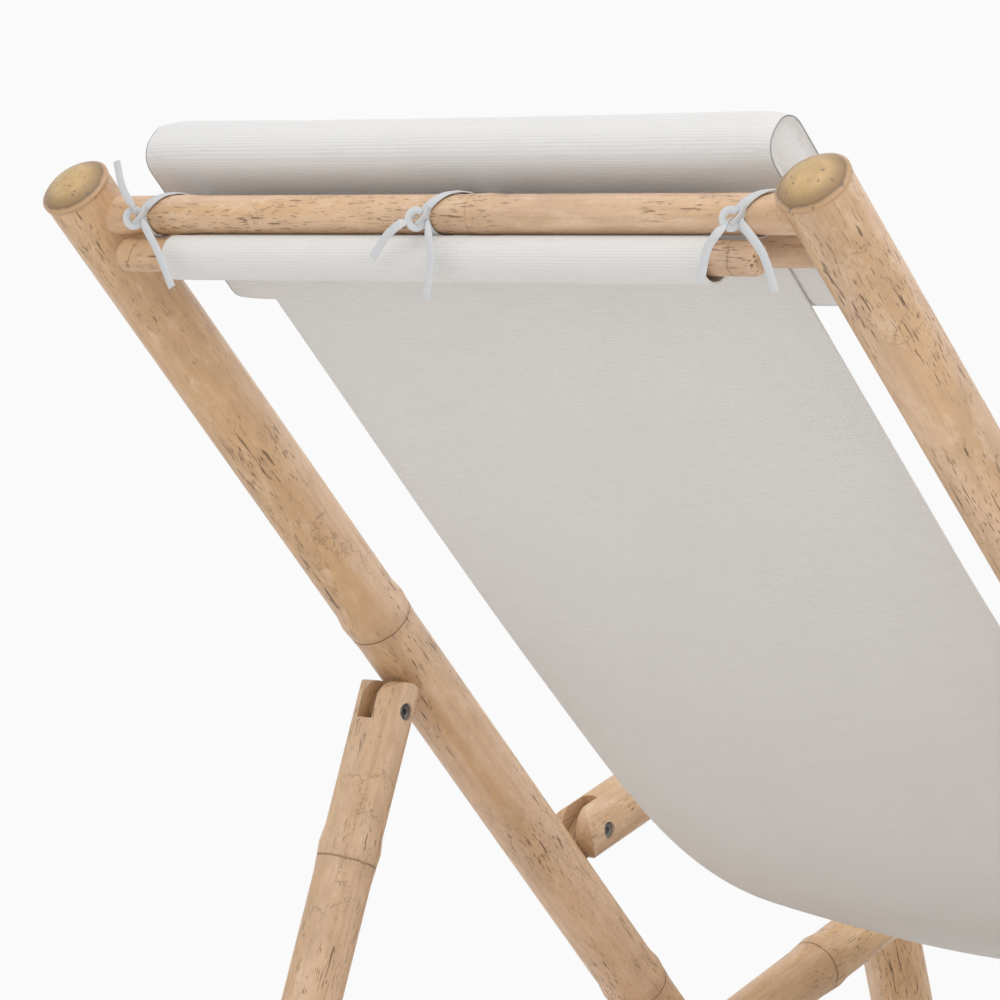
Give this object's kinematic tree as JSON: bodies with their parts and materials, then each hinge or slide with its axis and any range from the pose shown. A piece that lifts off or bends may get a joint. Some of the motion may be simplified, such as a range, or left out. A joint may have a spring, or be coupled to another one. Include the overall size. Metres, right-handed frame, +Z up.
{
  "type": "folding sling recliner",
  "caption": "Bamboo folding recliner: canvas sling between hinged back and seat frames, with struts, armrests, front legs and a tied headrest pillow.",
  "frame": {"origin": "on the ground, under the middle of the chair's outline", "axes": "+Z up; the sitter faces -Y; +X is the sitter's left"},
  "size_m": [0.6536, 1.2894, 0.9286],
  "materials": {
    "bamboo": "satin varnish",
    "node_plug": "satin varnish",
    "hardwood": "planed",
    "canvas": "plain weave",
    "pillow": "fine ribbed weave",
    "tape": "flat cotton tape",
    "steel": "brushed"
  },
  "bodies": {
    "seat_frame": {"seat_rail_left": "bamboo", "seat_rail_right": "bamboo", "seat_rail_cap_left": "node_plug", "seat_rail_cap_right": "node_plug", "front_rail": "bamboo", "front_guide_rail": "bamboo", "sling_front_dowel": "bamboo", "pivot_cross_rail": "bamboo", "ground_bar": "bamboo", "ground_bar_screws": "steel", "notch_cleat_left": "hardwood", "notch_cleat_right": "hardwood", "cleat_screw_set": "steel", "back_pivot_bolts": "steel", "back_pivot_washers": "steel", "leg_pivot_bolts": "steel", "leg_pivot_washers": "steel", "leg_pivot_nuts": "steel", "sling_seat": "canvas", "sling_hip": "canvas"},
    "back_frame": {"back_rail_left": "bamboo", "back_rail_right": "bamboo", "rail_cap_left": "node_plug", "rail_cap_right": "node_plug", "top_rail": "bamboo", "top_guide_rail": "bamboo", "sling_top_dowel": "bamboo", "strut_tongue_left": "hardwood", "strut_tongue_right": "hardwood", "arm_tongue_left": "hardwood", "arm_tongue_right": "hardwood", "sling_back": "canvas", "headrest_pillow": "pillow", "pillow_tie_left": "tape", "pillow_tie_middle": "tape", "pillow_tie_right": "tape"},
    "struts": {"strut_left": "bamboo", "strut_right": "bamboo", "strut_foot_bar": "bamboo", "strut_hinge_screws": "steel", "strut_hinge_nuts": "steel"},
    "arms": {"armrest_left": "bamboo", "armrest_right": "bamboo", "arm_rear_screws": "steel", "arm_rear_nuts": "steel", "arm_front_screws": "steel", "arm_front_nuts": "steel"},
    "front_legs": {"front_leg_left": "bamboo", "front_leg_right": "bamboo", "leg_cap_left": "node_plug", "leg_cap_right": "node_plug", "leg_tongue_left": "hardwood", "leg_tongue_right": "hardwood", "leg_stretcher": "bamboo"}
  },
  "joints": [
    {"name": "back_fold", "type": "hinge", "parent": "seat_frame", "child": "back_frame", "pos_m": [0, -0.03915, 0.225], "axis": [-1, 0, 0], "range_deg": [0, 52]},
    {"name": "leg_fold", "type": "hinge", "parent": "seat_frame", "child": "front_legs", "pos_m": [0, -0.32637, 0.31832], "axis": [-1, 0, 0], "range_deg": [0, 52]},
    {"name": "arm_fold", "type": "hinge", "parent": "back_frame", "child": "arms", "pos_m": [0, 0.06788, 0.39572], "axis": [-1, 0, 0], "range_deg": [-52, 0]},
    {"name": "strut_fold", "type": "hinge", "parent": "back_frame", "child": "struts", "pos_m": [0, 0.31099, 0.50501], "axis": [-1, 0, 0], "range_deg": [-106.6, 0]}
  ],
  "couplings": [
    {"joint": "leg_fold", "follows": "back_fold", "ratio": 1},
    {"joint": "arm_fold", "follows": "back_fold", "ratio": -1},
    {"joint": "strut_fold", "follows": "back_fold", "ratio": -2.05}
  ]
}
